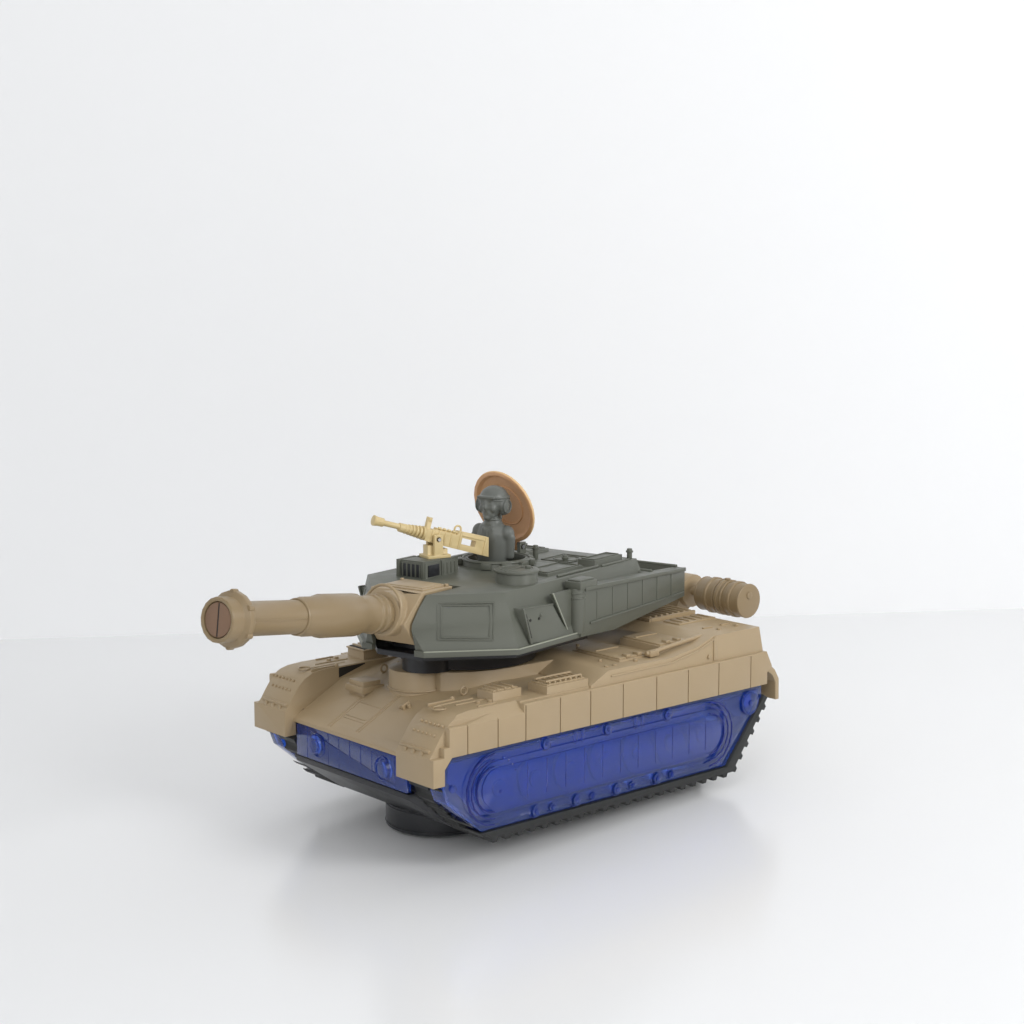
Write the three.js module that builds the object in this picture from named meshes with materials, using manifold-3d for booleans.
// A toy battle tank that drives itself with a swivelling bump-and-go disc. Millimetres.
// +X is the tank's front, +Y its left side, +Z up. The origin is the middle of the footprint, on the floor.
import * as THREE from 'three';
import { mergeVertices } from 'three/addons/utils/BufferGeometryUtils.js';
import Module from 'manifold-3d';

const wasm = await Module();
wasm.setup();

// ---------------------------------------------------------------- driving dimensions
const GAP = 0.35; // between pieces that touch
const DEG = Math.PI / 180;
const STANCE = 2.3 * DEG; // the disc under the front holds the nose up by this much

const hull = {
  halfWidth: 55, // over the skirts
  skirtIn: 52.6,
  wall: 2.2,
  rear: -80,
  fenderIn: 34.2, // inner wall of a fender
  skirtBottom: 36,
};
const lensPanel = { front: 86.2, back: 84.4, halfWidth: 33.8, bottom: 19.4, top: 31.8, lampY: 21.6, lampZ: 25.6 };
const pod = { in: 46, face: 53.2, behindSkirt: 52.2, studZ: 9.2, rollerZ: 33.2, ringZ: 21.4, ringFront: 62, ringRear: -47 };
const track = { in: 35, out: 54, loopOut: 45.6, pitch: 6, grouser: 1.5 };
const chassis = { halfWidth: 34.6, floor: 3, wall: 2 };
const bay = { x0: -49.4, x1: -1.6, halfY: 27.4, top: 20.6 }; // battery bay, open below
const post = { x: [54, -55.2], y: [29, 14], r: 3.4 }; // screw posts, front and rear
const disc = { x: 45, r: 20, top: 2.2, bottom: -6.9, hubR: 13.4, hubTop: 6.4 };
const drive = { z: -1.5, wheelR: 6.5, wheelY: 11.5, module: 0.8, shaftR: 1.2 };
const rearWheel = { x: -62, z: 3.5, r: 7.2, y: 27, width: 7, axleR: 1.5, bearingY: 18.6 };
const turret = {
  x: 30, // centre of the ring on the hull
  yaw: 13 * DEG, // where the turret stands at rest
  ringTop: 54.3, roomR: 21.9, bore: 19,
  lobeX: 24.7, lobeR: 10.6, noseR: 9.4,
  baseBottom: 54.65, baseR: 22, lip: 64, shellBottom: 66.2, mid: 75.6, roof: 86,
  basketRear: -92.8, roofRear: -71, sideOut: 41.2,
};
const gun = { x: 30, z: 76.65, rise: 7.76 * DEG, muzzle: 103.6 };
const cupola = { x: -26.5, y: -5.8, r: 13.5, top: 88.6 };
const lid = { r: 15.3, x: -42.6, y: -8.2, z: 91.2, open: 71.3 * DEG, yaw: -6.6 * DEG };
const mg = { x: 3.4, y: -13.2, yaw: -25 * DEG, baseZ: 92.3, pitchZ: 99.5, rise: 16 * DEG };
const drum = { x: -88.9, z: 66.4, r: 7, band: 7.6, y0: 13, y1: 37.4, hub: 6.6 };

// ---------------------------------------------------------------- finishes
const paint = (color, roughness = 0.5, metalness = 0) =>
  new THREE.MeshStandardMaterial({ color, roughness, metalness });
const finish = {
  tan: () => paint(0xb09a78),
  green: () => paint(0x565a50),
  black: () => paint(0x191a1c, 0.4),
  blue: () => paint(0x2b46c8, 0.12),
  cream: () => paint(0xd8c594),
  orange: () => paint(0xc08c50),
  brown: () => paint(0x8a6a58),
  steel: () => paint(0xb8bcc0, 0.3, 0.9),
  brass: () => paint(0xc8a45a, 0.3, 0.9),
  white: () => paint(0xf0f0ea, 0.5),
  board: () => paint(0x1f6b3c, 0.5),
  label: () => paint(0x8a8f96, 0.45),
};

// ---------------------------------------------------------------- shape helpers
const X_AXIS = new THREE.Vector3(1, 0, 0);
const Y_AXIS = new THREE.Vector3(0, 1, 0);
const Z_AXIS = new THREE.Vector3(0, 0, 1);
const UP = new THREE.Matrix4();
const ALONG_Y = new THREE.Matrix4().makeBasis(X_AXIS, Z_AXIS, Y_AXIS.clone().negate());
const ALONG_X = new THREE.Matrix4().makeBasis(Y_AXIS, Z_AXIS, X_AXIS);

const move = (x, y, z) => new THREE.Matrix4().makeTranslation(x, y, z);
const turn = (axis, angle) => new THREE.Matrix4().makeRotationAxis(axis, angle);
const mirrored = (points) => [...points, ...points.map(([x, y]) => [x, -y]).reverse()];

/** A closed geometry as a solid that can be joined and cut. */
function solid(geometry, matrix = UP) {
  const bare = geometry.clone();
  bare.deleteAttribute('normal');
  bare.deleteAttribute('uv');
  const g = mergeVertices(bare, 1e-4);
  g.applyMatrix4(matrix);
  const index = Uint32Array.from(g.index.array);
  const vertProperties = Float32Array.from(g.attributes.position.array);
  return new wasm.Manifold(new wasm.Mesh({ numProp: 3, vertProperties, triVerts: index }));
}

const join = (...solids) => solids.flat().reduce((a, b) => a.add(b));
const cut = (body, ...tools) => tools.flat().reduce((a, b) => a.subtract(b), body);
const shift = (body, x, y, z) => body.translate([x, y, z]);
const mirrorY = (body) => body.mirror([0, 1, 0]);
const both = (body) => [body, mirrorY(body)];

function shapeOf(outline) {
  return outline instanceof THREE.Shape ? outline : new THREE.Shape(outline.map(([a, b]) => new THREE.Vector2(a, b)));
}

function extruded(outline, depth, curveSegments = 8) {
  return new THREE.ExtrudeGeometry(shapeOf(outline), { depth, bevelEnabled: false, curveSegments });
}

/** An outline in (x, z), from y0 to y1. */
const prismY = (outline, y0, y1, segments) =>
  shift(solid(extruded(outline, y1 - y0, segments), ALONG_Y), 0, y1, 0);
/** An outline in (x, y), from z0 to z1. */
const prismZ = (outline, z0, z1, segments) => shift(solid(extruded(outline, z1 - z0, segments)), 0, 0, z0);
/** An outline in (y, z), from x0 to x1. */
const prismX = (outline, x0, x1, segments) =>
  shift(solid(extruded(outline, x1 - x0, segments), ALONG_X), x0, 0, 0);

const block = ([x0, x1], [y0, y1], [z0, z1]) =>
  solid(new THREE.BoxGeometry(x1 - x0, y1 - y0, z1 - z0), move((x0 + x1) / 2, (y0 + y1) / 2, (z0 + z1) / 2));

/** A round bar from a to b along one axis, centred on the other two coordinates. */
function bar(axis, r, a, b, [u, v], sides = 20, r2 = r) {
  const g = new THREE.CylinderGeometry(r2, r, b - a, sides); // stands along its own y
  const mid = (a + b) / 2;
  if (axis === 'y') return solid(g, move(u, mid, v));
  if (axis === 'x') return solid(g, move(mid, u, v).multiply(turn(Z_AXIS, -Math.PI / 2)));
  return solid(g, move(u, v, mid).multiply(turn(X_AXIS, Math.PI / 2)));
}

/** A turned shape: (radius, height) points round the z axis. */
const lathe = (profile, sides = 24) =>
  solid(new THREE.LatheGeometry(profile.map(([r, z]) => new THREE.Vector2(r, z)), sides), turn(X_AXIS, Math.PI / 2));

/** Rings of (x, y, z) points, one above the other, closed top and bottom. */
function loft(rings) {
  const n = rings[0].length;
  const positions = rings.flat(2);
  const index = [];
  for (let k = 0; k + 1 < rings.length; k += 1) {
    for (let i = 0; i < n; i += 1) {
      const [a, b] = [k * n + i, k * n + ((i + 1) % n)];
      index.push(a, b, b + n, a, b + n, a + n);
    }
  }
  const outline = (ring) => ring.map(([x, y]) => new THREE.Vector2(x, y));
  const topStart = (rings.length - 1) * n;
  THREE.ShapeUtils.triangulateShape(outline(rings[0]), []).forEach(([a, b, c]) => index.push(a, c, b));
  THREE.ShapeUtils.triangulateShape(outline(rings.at(-1)), []).forEach(([a, b, c]) =>
    index.push(topStart + a, topStart + b, topStart + c));
  const g = new THREE.BufferGeometry();
  g.setAttribute('position', new THREE.Float32BufferAttribute(positions, 3));
  g.setIndex(index);
  return solid(g);
}

/** A racetrack outline with round ends of radius r about (xa, z) and (xb, z). */
function racetrack(xa, xb, z, r) {
  const s = new THREE.Shape();
  s.absarc(xb, z, r, -Math.PI / 2, Math.PI / 2, false);
  s.absarc(xa, z, r, Math.PI / 2, (Math.PI * 3) / 2, false);
  s.closePath();
  return s;
}

/** Puts a finished solid into a group as a named mesh. */
function add(group, name, body, material) {
  const m = body.getMesh();
  const g = new THREE.BufferGeometry();
  g.setAttribute('position', new THREE.BufferAttribute(new Float32Array(m.vertProperties), 3));
  g.setIndex(new THREE.BufferAttribute(new Uint32Array(m.triVerts), 1));
  const mesh = new THREE.Mesh(g, material);
  mesh.name = name;
  group.add(mesh);
  return mesh;
}

const frameAt = (parent, x, y, z) => {
  const group = new THREE.Group();
  group.position.set(x, y, z);
  parent.add(group);
  return group;
};

// ---------------------------------------------------------------- hull
const GLACIS = [[87.2, 32.2], [87.2, 33.6], [65, 45.4], [36, 49.9], [-78, 49.9], [-78, 32.2]];
const GLACIS_UNDER = [[84.9, 20], [84.9, 32.6], [64, 43], [35.5, 47.7], [-77.8, 47.7], [-77.8, 20]];
const FENDER = [
  [91.2, 26.8], [91.2, 36.4], [89.6, 38.2], [87.4, 41.6], [85, 44.8], [82, 47.6], [78, 49.6], [72, 50.2],
  [-78, 50.2], [-84, 43.6], [-88, 40.6], [-90.6, 36.4], [-90.8, 28], [-88.8, 28], [-88.6, 35.4],
  [-86.6, 38.6], [-83, 41], [-80, 41.2], [-80, 36.3], [82.8, 36.3], [86.2, 32.2], [86.2, 26.8],
];
const FENDER_UNDER = [
  [84.4, 20], [84.4, 41.6], [81, 45.4], [77.4, 47.4], [71.6, 48], [-76, 48], [-79.6, 42.2], [-79.6, 20],
];
const SKIRT = [
  [84, 36.2], [84, 46.7], [76, 46.5], [62, 48.6], [52, 49.6], [-80, 49.6], [-83.4, 43.2], [-80.6, 41], [-80.6, 36.2],
];
const REAR_DECK = [[16, 47], [16, 50.4], [7, 54.8], [-26, 54.6], [-41, 56.8], [-50, 59.8], [-77, 59.8], [-79.4, 50], [-79.4, 47]];
const REAR_DECK_UNDER = [
  [12, 40], [12, 49], [6.4, 52.4], [-26, 52.2], [-42, 54.5], [-51, 57.4], [-75.6, 57.4], [-77.2, 50], [-77.2, 40],
];
const SKIRT_SEAMS = [76, 62.2, 49.2, 32.6, 17.5, 0.8, -17, -34.4, -51.8, -70.6];

function side() {
  const { halfWidth, skirtIn, fenderIn } = hull;
  const bevel = prismX([[50.6, 51], [50.6, 50.3], [55.4, 45.8], [55.4, 51]], 50, 92);
  const box = block([86.2, 91.2], [skirtIn - 1, halfWidth], [26.8, 36.6]);
  const boxBack = prismY([[82.8, 36.4], [86.4, 32.2], [86.4, 40], [82.8, 40]], skirtIn - 1, halfWidth);
  const fender = cut(prismY(FENDER, fenderIn, skirtIn), prismY(FENDER_UNDER, fenderIn + hull.wall, skirtIn - 0.1));
  const seams = SKIRT_SEAMS.map((x) => block([x - 0.25, x + 0.25], [halfWidth - 0.5, halfWidth + 1], [35, 49]));
  return cut(join(fender, prismY(SKIRT, skirtIn - 0.2, halfWidth), box, boxBack), bevel, seams);
}

const RING = mirrored([[54, 13], [50.5, 17], [45, 20.6], [37, 23], [27, 24.3], [14, 24.9], [4, 24.5], [-4, 16]]);

function turretRing() {
  const { x, ringTop, lobeX, lobeR } = turret;
  return join(prismZ(RING, 46, ringTop), bar('z', lobeR, 44, ringTop, [x + lobeX, 0], 28));
}

function rearDeck() {
  const slats = Array.from({ length: 6 }, (_, i) => block([-74 + i * 4.2, -72.4 + i * 4.2], [-16, 16], [59, 60.6]));
  const lids = [[-22, -6, 20, 46, 55.4], [-44, -28, 24, 46, 57.6], [-22, -6, -46, -20, 55.4], [-44, -28, -46, -24, 57.6]]
    .map(([x0, x1, y0, y1, top]) => block([x0, x1], [y0, y1], [54, top]));
  return join(prismY(REAR_DECK, -53.4, 53.4), slats, lids);
}

function hullUpper() {
  const { skirtIn, fenderIn, rear } = hull;
  const rearWall = block([rear, rear + 2.4], [-36.4, 36.4], [33, 51]);
  const stowage = [[44, 57.4, 38, 46.6, 53.2], [16, 36.4, 41.6, 52, 53], [40, 52, -47.5, -37, 53.6]]
    .map(([x0, x1, y0, y1, top]) => block([x0, x1], [y0, y1], [49, top]));
  const periscope = block([62, 70], [-22, -13], [42, 48.2]);
  const outside = join(
    prismY(GLACIS, -fenderIn - 0.2, fenderIn + 0.2), both(side()), rearWall, rearDeck(), turretRing(), stowage, periscope);
  return cut(outside,
    prismY(GLACIS_UNDER, -fenderIn - 0.1, fenderIn + 0.1),
    block([-77.8, 49], [-skirtIn + 0.1, skirtIn - 0.1], [20, 47.7]),
    prismY(REAR_DECK_UNDER, -51.4, 51.4),
    bar('z', turret.bore, 30, 60, [turret.x, 0], 28),
    bar('z', turret.roomR, 30, turret.ringTop - 2.4, [turret.x, 0], 28));
}

// ---------------------------------------------------------------- clear blue side and front panels
const POD = [
  [82.4, 35.6], [82.4, 35.2], [85.7, 31.4], [85.9, 24.6], [83.8, 19.2], [68.6, 6.5], [-58, 6.2], [-79.2, 31], [-79.2, 35.6],
];
const POD_HOLLOW = [[81, 34], [84, 31], [84.2, 25], [82.2, 20], [68, 8.2], [-57.2, 8], [-77.4, 31.6], [-77.4, 34]];

function sideLens() {
  const { face, ringZ, ringFront, ringRear, studZ, rollerZ } = pod;
  const shell = cut(prismY(POD, pod.in, face), prismY(POD_HOLLOW, pod.in - 1, face - 1.6));
  const tab = block([-79.2, 82.4], [pod.in, pod.behindSkirt], [34, 37.6]);
  const steps = [[13.2, 0.6], [9.8, 1.2], [7.4, 1.7]].map(([r, rise]) =>
    prismY(racetrack(ringRear, ringFront, ringZ, r), face - 0.2, face + rise, 6));
  const stud = (x, z, r, rise) => bar('y', r, face - 0.2, face + rise, [x, z], 8);
  const studs = [43.8, 23.6, 3.1, -18.3].flatMap((x) => [stud(x, studZ, 2.2, 1.8), stud(x - 8, studZ - 0.2, 1.6, 1.5)]);
  const rollers = [38.8, 7.9, -24.1].map((x) => stud(x, rollerZ - 0.2, 2.1, 1.6));
  const idler = stud(-71.6, 29.8, 4.4, 1.2);
  return join(shell, tab, steps, studs, rollers, idler);
}

function frontLens() {
  const { front, back, halfWidth, bottom, top, lampY, lampZ } = lensPanel;
  const plate = block([back, front], [-halfWidth, halfWidth], [bottom, top]);
  const dome = (y) => bar('x', 4, front - 0.2, front + 1.6, [y, lampZ], 16, 3);
  return join(plate, dome(lampY), dome(-lampY));
}

// ---------------------------------------------------------------- tracks
const TRACK_OUT = [[64.4, 3.2], [83.2, 20.4], [85.4, 25.9], [83, 33.4], [-77.6, 33], [-82.2, 30.2], [-62, 3.2]];
const TRACK_IN = [[61.4, 8], [79.4, 23.4], [79.8, 29.6], [-78, 30], [-60.4, 8]];

/** The outline, walked anticlockwise from its bottom front corner, with cleats along its two slopes and its bottom. */
function cleated(outline) {
  const points = [];
  outline.forEach(([x, z], i) => {
    const [nx, nz] = outline[(i + 1) % outline.length];
    points.push([x, z]);
    if (z > 25 && nz > 25) return;
    const length = Math.hypot(nx - x, nz - z);
    const count = Math.max(1, Math.round(length / track.pitch));
    const [ux, uz] = [(nx - x) / length, (nz - z) / length];
    const at = (f, out) => [x + (ux * length * f) / count + uz * out, z + (uz * length * f) / count - ux * out];
    for (let k = 0; k < count; k += 1) {
      if (k > 0) points.push(at(k, 0));
      points.push(at(k + 0.5, 0), at(k + 0.6, track.grouser), at(k + 0.92, track.grouser));
    }
  });
  return points;
}

function trackLoop() {
  const loop = cut(prismY(cleated(TRACK_OUT), track.in, track.out), prismY(TRACK_IN, track.in - 1, track.out + 1));
  const lensSpace = POD.map(([x, z]) => [x + Math.sign(x) * 0.5, z + (z > 35 ? 4 : Math.sign(z - 31.2) * 0.5)]);
  const web = prismY([[66, 8.4], [66, 12], [-60, 12], [-60, 7.6], [60, 7.6]], track.in, track.in + 1.2);
  return join(cut(loop, prismY(lensSpace, track.loopOut, track.out + 1)), web);
}

// ---------------------------------------------------------------- chassis
const CHASSIS = [[86, 17], [86, 19], [82.2, 19], [82.2, 31.4], [-77.4, 31.4], [-77.4, 18], [-63, 3], [66, 3]];
const CHASSIS_IN = [[80.2, 17], [80.2, 33], [-75.2, 33], [-75.2, 19], [-62, 5], [65, 5]];
const SWITCH_SLOT = { x: [15.6, 20.4], y: [-24.4, -15.6] };

function chassisTub() {
  const w = chassis.halfWidth;
  const tub = cut(prismY(CHASSIS, -w, w), prismY(CHASSIS_IN, -w + chassis.wall, w - chassis.wall));
  const bayCase = block([bay.x0 - 1.4, bay.x1 + 1.4], [-bay.halfY - 1.4, bay.halfY + 1.4], [4, bay.top + 1.4]);
  const posts = post.x.flatMap((x, i) => both(bar('z', post.r, 4.6, 29, [x, post.y[i]], 14)));
  const bores = post.x.flatMap((x, i) =>
    both(join(bar('z', 1.45, 2, 30, [x, post.y[i]], 10), bar('z', 2.9, 2, 5, [x, post.y[i]], 14))));
  const bearing = block([rearWheel.x - 4, rearWheel.x + 4], [rearWheel.bearingY - 1, rearWheel.bearingY + 1], [4.6, 9]);
  const well = block(
    [rearWheel.x - 8.4, rearWheel.x + 8.4], [rearWheel.y - 4.4, rearWheel.y + 4.4], [2, 13.4]);
  return cut(
    join(tub, bayCase, posts, both(bearing)),
    bores,
    block([bay.x0, bay.x1], [-bay.halfY, bay.halfY], [2, bay.top]),
    bar('z', disc.hubR + 2.4, 0, 8, [disc.x, 0], 28),
    block(SWITCH_SLOT.x, SWITCH_SLOT.y, [2, 6]),
    both(well),
    bar('y', rearWheel.axleR + 0.3, -30.4, 30.4, [rearWheel.x, rearWheel.z], 16));
}

function batteryDoor() {
  const plate = block([bay.x0 + GAP, bay.x1 - GAP], [-bay.halfY + GAP, bay.halfY - GAP], [3, 4.8]);
  const grip = [-1, 0, 1].map((k) => block([-28, -23], [k * 3 - 0.6, k * 3 + 0.6], [2, 3.6]));
  return cut(plate, grip);
}

function cell() {
  return join(bar('y', 7.1, -24.4, 23.4, [0, 0], 20), bar('y', 2.7, 23.2, 24.6, [0, 0], 12));
}

function contactPlate(y) {
  const pads = [-10.5, -25.5, -40.5].map((x) => block([x - 4, x + 4], [y - 0.6, y + 0.6], [9, 16]));
  return join(block([-47, -4], [y - 0.3, y + 0.3], [6, 19]), pads);
}

function rearRoadWheel() {
  const { x, y, z, r, width } = rearWheel;
  const tyre = bar('y', r, y - width / 2, y + width / 2, [x, z], 24);
  return cut(tyre, bar('y', rearWheel.axleR + 0.3, 0, 40, [x, z], 16), bar('y', r - 2.4, y + 1.5, y + 5, [x, z], 20));
}

function circuitBoard() {
  const chips = [[-40, -30, -12, -4], [-20, -12, 2, 12], [-36, -31, 8, 13]]
    .map(([x0, x1, y0, y1]) => block([x0, x1], [y0, y1], [25, 27.6]));
  return join(block([-48, -4], [-20, 20], [23.8, 25.2]), chips);
}

function speaker() {
  const profile = [[0, 0], [6, 0], [6, 3], [7, 3.4], [11, 7], [11, 8.2], [9.6, 8.2], [3.6, 4.4], [0, 4.4]];
  return shift(lathe(profile, 20), rearWheel.x, 0, 14);
}

function led([x, y, z], axis, length) {
  const start = axis === 'x' ? x : y;
  const across = axis === 'x' ? [y, z] : [x, z];
  return join(bar(axis, 2.8, start, start + 1, across, 14), bar(axis, 2.4, start + 0.9, start + length, across, 14, 1.2));
}

// ---------------------------------------------------------------- swivelling drive
const TRAIN = (() => { // gear centres rise in a line from the axle to the motor shaft
  const m = drive.module;
  const teeth = { axle: 12, small: 10, big: 16, pinion: 8 };
  const r = Object.fromEntries(Object.entries(teeth).map(([k, n]) => [k, (n * m) / 2]));
  const second = drive.z + r.axle + r.small;
  const first = second + r.big + r.small;
  return { teeth, r, second, first, motor: first + r.big + r.pinion };
})();

/** A spur gear between y0 and y1 with a tooth, or with toothUp false a gap, at its side towards angle. */
function gear(count, y0, y1, z, towards, toothThere) {
  const m = drive.module;
  const r = (count * m) / 2;
  const step = (2 * Math.PI) / count;
  const outline = [];
  for (let k = 0; k < count; k += 1) {
    const a = towards + (k + (toothThere ? 0 : 0.5)) * step;
    [[-0.3, r - m], [-0.13, r + 0.7 * m], [0.13, r + 0.7 * m], [0.3, r - m]].forEach(([f, radius]) =>
      outline.push([disc.x + Math.cos(a + f * step) * radius, z + Math.sin(a + f * step) * radius]));
  }
  return prismY(outline, y0, y1);
}

const UPWARD = Math.PI / 2;

function axleGear() {
  const hub = gear(TRAIN.teeth.axle, -2, 2, drive.z, UPWARD, true);
  return join(hub, bar('y', drive.shaftR, -14.4, 14.4, [disc.x, drive.z], 12));
}

function secondGear() {
  const { teeth, second } = TRAIN;
  return join(
    gear(teeth.small, -2, 2.8, second, -UPWARD, false), gear(teeth.big, 2.6, 5.6, second, UPWARD, true),
    bar('y', drive.shaftR, -9.4, 11.4, [disc.x, second], 10));
}

function firstGear() {
  const { teeth, first } = TRAIN;
  return join(
    gear(teeth.small, 2.6, 6.6, first, -UPWARD, false), gear(teeth.big, 6.4, 9.4, first, UPWARD, true),
    bar('y', drive.shaftR, -9.4, 11.4, [disc.x, first], 10));
}

function pinion() {
  return join(gear(TRAIN.teeth.pinion, 6.4, 9.4, TRAIN.motor, -UPWARD, false),
    bar('y', 1, 2.2, 11, [disc.x, TRAIN.motor], 10));
}

function driveDisc() {
  const { x, r, top, bottom, hubR, hubTop } = disc;
  const shell = cut(
    join(bar('z', r, bottom, top, [x, 0], 36), bar('z', hubR, top - 0.2, hubTop, [x, 0], 28)),
    bar('z', r - 2, bottom + 1.8, top - 1.8, [x, 0], 28),
    bar('z', hubR - 1.4, 0, hubTop + 1, [x, 0], 28),
    block([x - 6.2, x + 6.2], [-2.5, 2.5], [bottom - 1, bottom + 3]),
    both(block([x - 7.4, x + 7.4], [drive.wheelY - 2.4, drive.wheelY + 2.4], [bottom - 1, 5.6])));
  const lug = block([x - 3, x + 3], [15, 17], [bottom + 1, top - 1]);
  return cut(join(shell, both(lug)), bar('y', drive.shaftR + 0.3, -14.8, 14.8, [x, drive.z], 14));
}

function retainer(x, rIn, rOut, z0, z1) {
  return cut(bar('z', rOut, z0, z1, [x, 0], 24), bar('z', rIn, z0 - 1, z1 + 1, [x, 0], 24));
}

function driveWheel() {
  const tyre = bar('y', drive.wheelR, drive.wheelY - 1.8, drive.wheelY + 1.8, [disc.x, drive.z], 24);
  return cut(tyre, bar('y', drive.shaftR + 0.3, 5, 20, [disc.x, drive.z], 12));
}

function gearbox() {
  const { x } = disc;
  const { second, first, motor } = TRAIN;
  const low = block([x - 10, x + 10], [-9.6, -8], [8.6, 19.4]);
  const high = block([x - 10, x + 10], [10.4, 12], [8.6, motor + 7]);
  const ties = [[x - 11.4, x - 9.8], [x + 9.8, x + 11.4]].map((span) => block(span, [-9.6, 12], [8.6, 14]));
  const cradle = cut(block([x - 10, x + 10], [-20, 1.4], [17.9, 19.4]), block([x - 1.8, x + 1.8], [-21, 2], [17, 20]));
  const holes = [second, first].map((z) => bar('y', drive.shaftR + 0.3, -12, 14, [x, z], 12));
  return cut(join(low, high, ties, cradle), holes, bar('y', 1.4, 8, 14, [x, motor], 12));
}

function motor() {
  const flat = new THREE.Shape();
  const [r, half] = [10, 7.5];
  const a = Math.asin(half / r);
  flat.absarc(disc.x, TRAIN.motor, r, -a, a, false);
  flat.absarc(disc.x, TRAIN.motor, r, Math.PI - a, Math.PI + a, false);
  flat.closePath();
  return join(prismY(flat, -23, 1.8, 8), bar('y', 3, -24.4, -22.8, [disc.x, TRAIN.motor], 14));
}

// ---------------------------------------------------------------- turret
const closed = (half, z, grow = 0) =>
  mirrored(half.map(([x, y]) => [x + (x > 0 ? grow : -grow), y + grow]).reverse().map(([x, y]) => [x, -y]).reverse())
    .map(([x, y]) => [x, -y, z]);
const SHELL_TOP = [[41, 12.8], [20.6, 32.2], [-30, 33], [turret.roofRear, 31.4]];
const SHELL_MID = [[46.9, 9], [20.4, 35.5], [-30, 36.6], [turret.roofRear - 1, 35.4]];
const SHELL_LOW = [[44, 13.6], [20, 38], [-30, 40], [turret.roofRear - 1, 38.4]];
const BIN = [[-16, 64.4], [-16, 83.4], [turret.basketRear, 80.2], [turret.basketRear, 68.4], [-40, 63.4]];

function shellBody(grow) {
  const { shellBottom, mid, roof } = turret;
  const low = grow < 0 ? 60 : shellBottom - 0.4;
  return loft([closed(SHELL_LOW, low, grow), closed(SHELL_MID, mid, grow), closed(SHELL_TOP, roof + grow, grow)]);
}

const slotRing = (halfWidth, z, back, front) => [
  [front, -halfWidth, z], [front, halfWidth, z], [back, halfWidth, z], [back, -halfWidth, z],
];
const slotFor = (gap) => loft([
  slotRing(9 + gap, 55, 20, 62), slotRing(9 + gap, 76, 20, 62), slotRing(12 + gap * 1.3, 90, 20, 62)]);

function turretShell() {
  const { lip, shellBottom, basketRear, roofRear, sideOut, roof } = turret;
  const flange = cut(
    prismZ(closed(SHELL_LOW.slice(0, 3), 0, 0.9).map(([x, y]) => [x, y]), lip, shellBottom),
    prismZ(closed(SHELL_LOW.slice(0, 3), 0, -2.4).map(([x, y]) => [x, y]), lip - 1, shellBottom + 1));
  const bin = prismY(BIN, 36, sideOut);
  const basket = cut(
    prismY([[roofRear + 2, 66.4], [roofRear + 2, 81.2], [basketRear, 80.2], [basketRear, 68.4]], -37, 37),
    block([basketRear + 1.8, roofRear - 1.4], [-36.6, 36.6], [70, 90]));
  const sightBox = join(block([6.8, 16], [-21, -7.6], [84, 92]), block([-4, 6], [-21, -7.6], [84, 91.6]));
  const hatch = bar('z', 7.9, 84, 91, [0, 23], 20);
  const ring = bar('z', cupola.r, 84, cupola.top, [cupola.x, cupola.y], 28);
  const roofBoxes = [[-64, -44, 21, 29, 88.4], [-66, -48, -28, -8, 87.2], [-40, -16, 14, 26, 87]]
    .map(([x0, x1, y0, y1, top]) => block([x0, x1], [y0, y1], [84, top]));
  const launcher = prismY([[12.6, 66.8], [17.6, 80], [-1, 78.8], [-12.4, 64.4]], 33, 38.6);
  const ears = both(cut(block([-1.7, 1.7], [2.6, 4.2], [84 - lid.z, 1.9]), bar('y', 1.1, 2, 5, [0, 0], 12)))
    .map((ear) => ear.rotate([0, 0, lid.yaw / DEG]).translate([lid.x, lid.y, lid.z]));
  const plates = both(block([26, 34], [14.2, 16], [70, 85]));
  const outside = join(shellBody(0), both(bin), flange, sightBox, hatch, ring, roofBoxes, both(launcher), ears);
  const inside = cut(shellBody(-2.2), plates);
  return cut(join(outside, basket),
    inside, slotFor(0.9),
    block([basketRear + 1.8, roofRear - 1.4], [-36.6, 36.6], [70, 90]),
    bar('z', cupola.r - 2.2, 80, 92, [cupola.x, cupola.y], 24),
    bar('y', 2, -15.8, 15.8, [gun.x, gun.z], 16));
}

/** The black drum under the shell, standing on the ring, with a round nose below the gun. */
function turretBase() {
  const { baseBottom, baseR, lip, bore, lobeX, noseR } = turret;
  const rim = prismZ(closed(SHELL_LOW.slice(0, 3), 0, -3).map(([x, y]) => [x, y]), 61.6, lip - GAP);
  const foot = bar('z', baseR, baseBottom, baseBottom + 0.7, [0, 0], 36);
  const wall = bar('z', baseR + 4, baseBottom + 0.6, 62.4, [0, 0], 36);
  const nose = bar('z', noseR, baseBottom, lip - GAP, [lobeX, 0], 24);
  const underGun = block([24.5, 34], [-9.2, 9.2], [60, 65.8]);
  const spigot = bar('z', bore - 0.5, 51.9, baseBottom + 1, [0, 0], 28);
  return cut(join(rim, foot, wall, nose, underGun, spigot), bar('z', bore - 3, 50, 70, [0, 0], 28));
}

// ---------------------------------------------------------------- gun
function mantlet() {
  const body = loft([
    slotRing(9, 67.6, 25, 43), slotRing(9, 76, 25, 49.4), slotRing(12, 86.9, 24.6, 42.6)]);
  const boss = bar('x', 8.2, 0, 8, [0, 0], 20).rotate([0, -gun.rise / DEG, 0]).translate([gun.x + 13, 0, gun.z + 1.8]);
  return cut(join(body, boss), bar('y', 1.9, -16, 16, [gun.x, gun.z], 16));
}

/** Radius along the barrel, from the mantlet boss to the muzzle. */
const BARREL = [
  [6.6, 21.5], [6.6, 23], [7.2, 23.4], [7.2, 24.6], [6.6, 25], [6.6, 26.4], [7.2, 26.8], [7.2, 28], [6.6, 28.4],
  [6.6, 34.6], [7.6, 37], [7.6, 55], [6.8, 57.4], [6.8, 64], [5.8, 66], [5.8, 94.8], [9.4, 95.6], [9.4, 97.8],
  [7.5, 98.6], [7.5, gun.muzzle],
];

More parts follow.
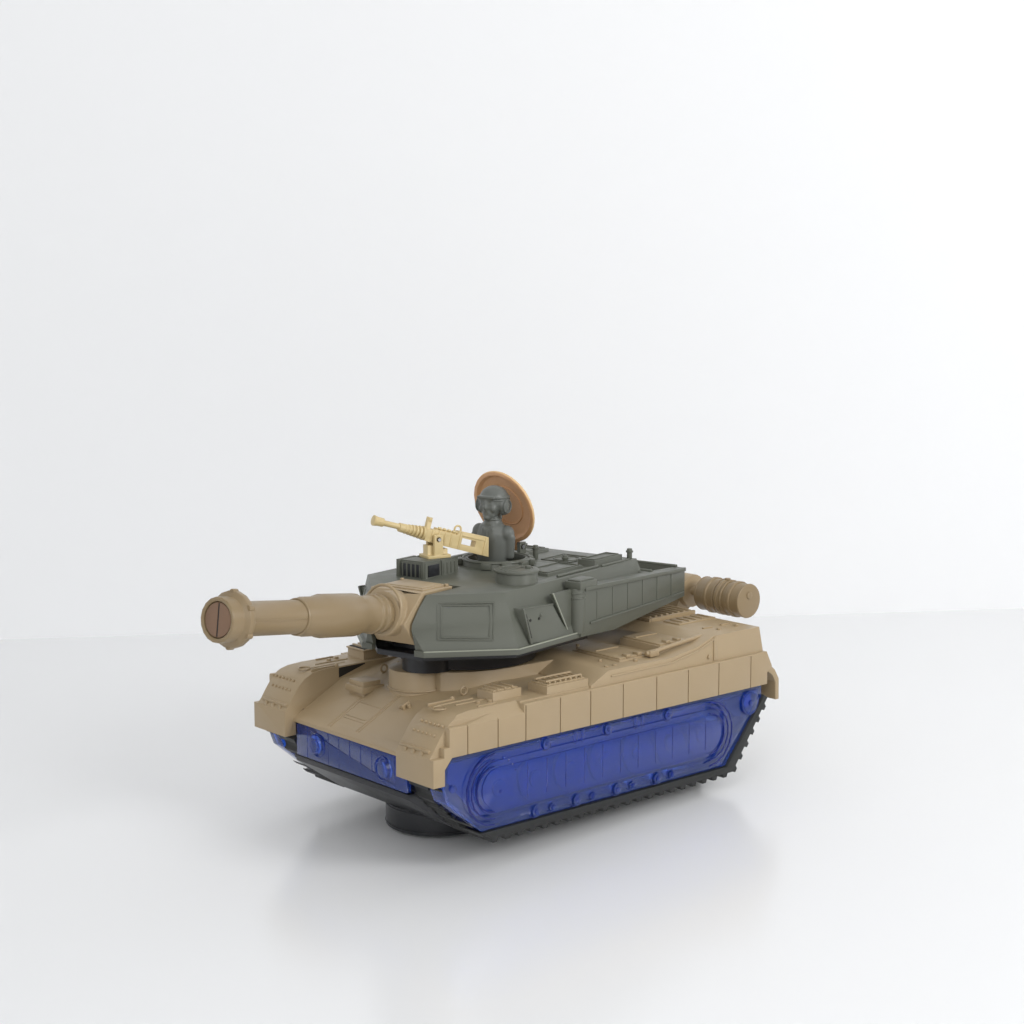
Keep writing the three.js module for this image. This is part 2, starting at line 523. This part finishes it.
function barrel() {
  const profile = [[0, BARREL[0][1]], ...BARREL, [6.1, gun.muzzle], [6.1, gun.muzzle - 1.4], [0, gun.muzzle - 1.4]];
  return lathe(profile, 18).rotate([0, 90, 0]);
}

const muzzleDisc = () => cut(
  bar('x', 5.7, gun.muzzle - 1.05, gun.muzzle - 0.35, [0, 0], 24),
  block([gun.muzzle - 0.6, gun.muzzle], [-0.3, 0.3], [-7, 7]));

// ---------------------------------------------------------------- crew and machine gun
function commander() {
  const bust = [[0, 0], [7.8, 0], [8, 6], [7.7, 12], [5.8, 15.4], [3.4, 17], [3.2, 19.4], [0, 19.4]];
  const body = shift(lathe(bust, 16).scale([0.6, 1, 1]), 0, 0, 87.2);
  const head = solid(new THREE.SphereGeometry(5.5, 12, 8), move(0.6, 0, 110));
  const helmet = solid(new THREE.SphereGeometry(6.4, 12, 8), move(-0.7, 0, 111));
  const cups = both(bar('y', 2.6, 5, 7, [-0.4, 109.4], 10));
  return shift(join(body, head, helmet, cups), cupola.x + 2.1, cupola.y - 0.1, 0);
}

/** The hatch lid closed over its ring, about its hinge at the group's origin. */
function hatchLid() {
  const dish = lathe([[0, 1], [8, 0.6], [lid.r - 2.6, -0.4], [lid.r - 1.4, -1.6], [lid.r, -1.6], [lid.r, -0.4],
    [lid.r - 2, 1], [8, 2], [0, 2.4]], 24);
  const arm = block([-1.4, 5.2], [-2.2, 2.2], [-1.2, 1.2]);
  return cut(join(shift(dish, lid.r + 2.4, 0, 0), arm), bar('y', 1.1, -4, 4, [0, 0], 12));
}

function mgMount() {
  const foot = block([-5, 4.6], [-4, 4], [0, 1.2]);
  const posts = [[-4.6, -2.2, 3.2], [1.5, 3.9, 4.9]].map(([x0, x1, top]) => block([x0, x1], [-2, 2], [0.8, top]));
  const ears = both(block([-1.8, 1.8], [2.4, 3.8], [0.8, 9]));
  return cut(join(foot, posts, ears), bar('y', 0.95, -5, 5, [0, mg.pitchZ - mg.baseZ], 12));
}

function mgGun() {
  const side = [[5, -1.6], [5, 2.6], [1.6, 3.4], [-8.6, 3.4], [-9.4, 5], [-22, 5.2], [-24, -2.2], [-2, -2]];
  const receiver = cut(prismY(side, -1.9, 1.9), block([-17, -10.8], [-3, 3], [0.2, 2.6]));
  const tube = join(bar('x', 1.7, 4.8, 15.9, [0, 1.1], 12), bar('x', 1.1, 15.7, 23, [0, 1.3], 12),
    bar('x', 1.7, 22.9, 27.1, [0, 1.4], 12));
  const sight = block([3.2, 5], [-0.9, 0.9], [2.2, 7.5]);
  return cut(join(receiver, tube, sight), bar('y', 0.95, -5, 5, [0, 0], 12));
}

// ---------------------------------------------------------------- fuel drums
function fuelDrum() {
  const { x, z, r, band, y0, y1 } = drum;
  const bands = [0.24, 0.5, 0.76].map((f) => {
    const y = y0 + (y1 - y0) * f;
    return bar('y', band, y - 0.9, y + 0.9, [x, z], 16);
  });
  return cut(join(bar('y', r, y0, y1, [x, z], 16), bands), bar('y', 2.3, y0 - 1, y0 + 5, [x, z], 12));
}

function drumBracket() {
  const { x, z, r } = drum;
  const arm = prismY([[hull.rear - GAP, 52], [hull.rear - GAP, 58], [x + 4, z], [x - 4, z], [x - 3, z - 6]], -4, 4);
  return join(arm, bar('y', r, -drum.hub, drum.hub, [x, z], 20), bar('y', 2, -16.4, 16.4, [x, z], 10));
}

// ---------------------------------------------------------------- toy
const toy = new THREE.Group();
const placed = frameAt(toy, 0, 0, 0);
const stance = frameAt(placed, 0, 0, 0);
stance.rotation.y = -STANCE;

add(stance, 'hull_upper', hullUpper(), finish.tan());
add(stance, 'hull_lower', chassisTub(), finish.black());
add(stance, 'track_left', trackLoop(), finish.black());
add(stance, 'track_right', mirrorY(trackLoop()), finish.black());
add(stance, 'side_lens_left', sideLens(), finish.blue());
add(stance, 'side_lens_right', mirrorY(sideLens()), finish.blue());
add(stance, 'front_lens', frontLens(), finish.blue());
add(stance, 'battery_door', batteryDoor(), finish.black());
[-10.5, -25.5, -40.5].forEach((x, i) => {
  const flip = i % 2 === 1;
  const one = flip ? mirrorY(cell()) : cell();
  add(stance, `battery_cell_${i + 1}`, shift(one, x, 0, 12.7), finish.label());
});
add(stance, 'contact_left', contactPlate(26.2), finish.brass());
add(stance, 'contact_right', contactPlate(-26.2), finish.brass());
add(stance, 'circuit_board', circuitBoard(), finish.board());
add(stance, 'speaker', speaker(), finish.label());
add(stance, 'led_front_left', led([74, lensPanel.lampY, lensPanel.lampZ], 'x', 5.4), finish.white());
add(stance, 'led_front_right', led([74, -lensPanel.lampY, lensPanel.lampZ], 'x', 5.4), finish.white());
add(stance, 'led_side_left', led([8, 35, 21.6], 'y', 5.4), finish.white());
add(stance, 'led_side_right', mirrorY(led([8, 35, 21.6], 'y', 5.4)), finish.white());
post.x.forEach((x, i) => [1, -1].forEach((s) => {
  const y = s * post.y[i];
  const screw = join(bar('z', 2.5, 3.2, 4.7, [x, y], 14), bar('z', 1.1, 4.5, 20, [x, y], 10));
  add(stance, `screw_${i ? 'rear' : 'front'}_${s > 0 ? 'left' : 'right'}`, screw, finish.steel());
}));
add(stance, 'drum_bracket', drumBracket(), finish.tan());
add(stance, 'fuel_drum_left', fuelDrum(), finish.tan());
add(stance, 'fuel_drum_right', mirrorY(fuelDrum()), finish.tan());
add(stance, 'power_switch', block([16, 20], [-24, -19], [2, 6]), finish.white());
add(stance, 'switch_housing', cut(block([13, 23], [-27, -13], [6.35, 12]), block([14.4, 21.6], [-25.6, -14.4], [5, 10.6])),
  finish.steel());

const axle = bar('y', rearWheel.axleR, -30, 30, [rearWheel.x, rearWheel.z], 14);
add(stance, 'rear_axle', axle, finish.steel());
add(stance, 'rear_wheel_left', rearRoadWheel(), finish.black());
add(stance, 'rear_wheel_right', mirrorY(rearRoadWheel()), finish.black());

add(stance, 'drive_disc', driveDisc(), finish.black());
add(stance, 'disc_retainer', retainer(disc.x, disc.hubR - 1.4, disc.hubR + 5, disc.hubTop + GAP, 8.2), finish.black());
add(stance, 'gearbox', gearbox(), finish.white());
add(stance, 'motor', motor(), finish.steel());
add(stance, 'motor_pinion', pinion(), finish.brass());
add(stance, 'gear_first', firstGear(), finish.white());
add(stance, 'gear_second', secondGear(), finish.white());
add(stance, 'drive_axle', axleGear(), finish.white());
add(stance, 'drive_wheel_left', driveWheel(), finish.black());
add(stance, 'drive_wheel_right', mirrorY(driveWheel()), finish.black());

const turretFrame = frameAt(stance, turret.x, 0, 0);
turretFrame.rotation.z = turret.yaw;
add(turretFrame, 'turret_base', turretBase(), finish.black());
add(turretFrame, 'turret_retainer', retainer(0, 12, 21.5, 49.2, 51.55), finish.black());
add(turretFrame, 'turret_shell', turretShell(), finish.green());
add(turretFrame, 'commander', commander(), finish.green());

const gunFrame = frameAt(turretFrame, gun.x, 0, gun.z);
add(gunFrame, 'mantlet', shift(mantlet(), -gun.x, 0, -gun.z), finish.tan());
add(gunFrame, 'gun_trunnion', bar('y', 1.6, -15.4, 15.4, [0, 0], 14), finish.steel());
const boreFrame = frameAt(gunFrame, 0, 0, 0);
boreFrame.rotation.y = -gun.rise;
add(boreFrame, 'gun_barrel', barrel(), finish.tan());
add(boreFrame, 'muzzle_disc', muzzleDisc(), finish.brown());

const lidSeat = frameAt(turretFrame, lid.x, lid.y, lid.z);
lidSeat.rotation.z = lid.yaw;
const lidFrame = frameAt(lidSeat, 0, 0, 0);
lidFrame.rotation.y = -lid.open;
add(lidFrame, 'hatch_lid', hatchLid(), finish.orange());
add(lidFrame, 'hatch_pin', bar('y', 0.8, -4.6, 4.6, [0, 0], 10), finish.steel());

const mgFrame = frameAt(turretFrame, mg.x, mg.y, mg.baseZ);
mgFrame.rotation.z = mg.yaw;
add(mgFrame, 'mg_mount', mgMount(), finish.cream());
const mgPitch = frameAt(mgFrame, 0, 0, mg.pitchZ - mg.baseZ);
mgPitch.rotation.y = -mg.rise;
add(mgPitch, 'mg_gun', mgGun(), finish.cream());
add(mgPitch, 'mg_pin', bar('y', 0.65, -4.4, 4.4, [0, 0], 10), finish.steel());

toy.updateMatrixWorld(true);
const footprint = new THREE.Box3().setFromObject(toy, true);
placed.position.set(
  -(footprint.min.x + footprint.max.x) / 2, -(footprint.min.y + footprint.max.y) / 2, -footprint.min.z);

export default toy;
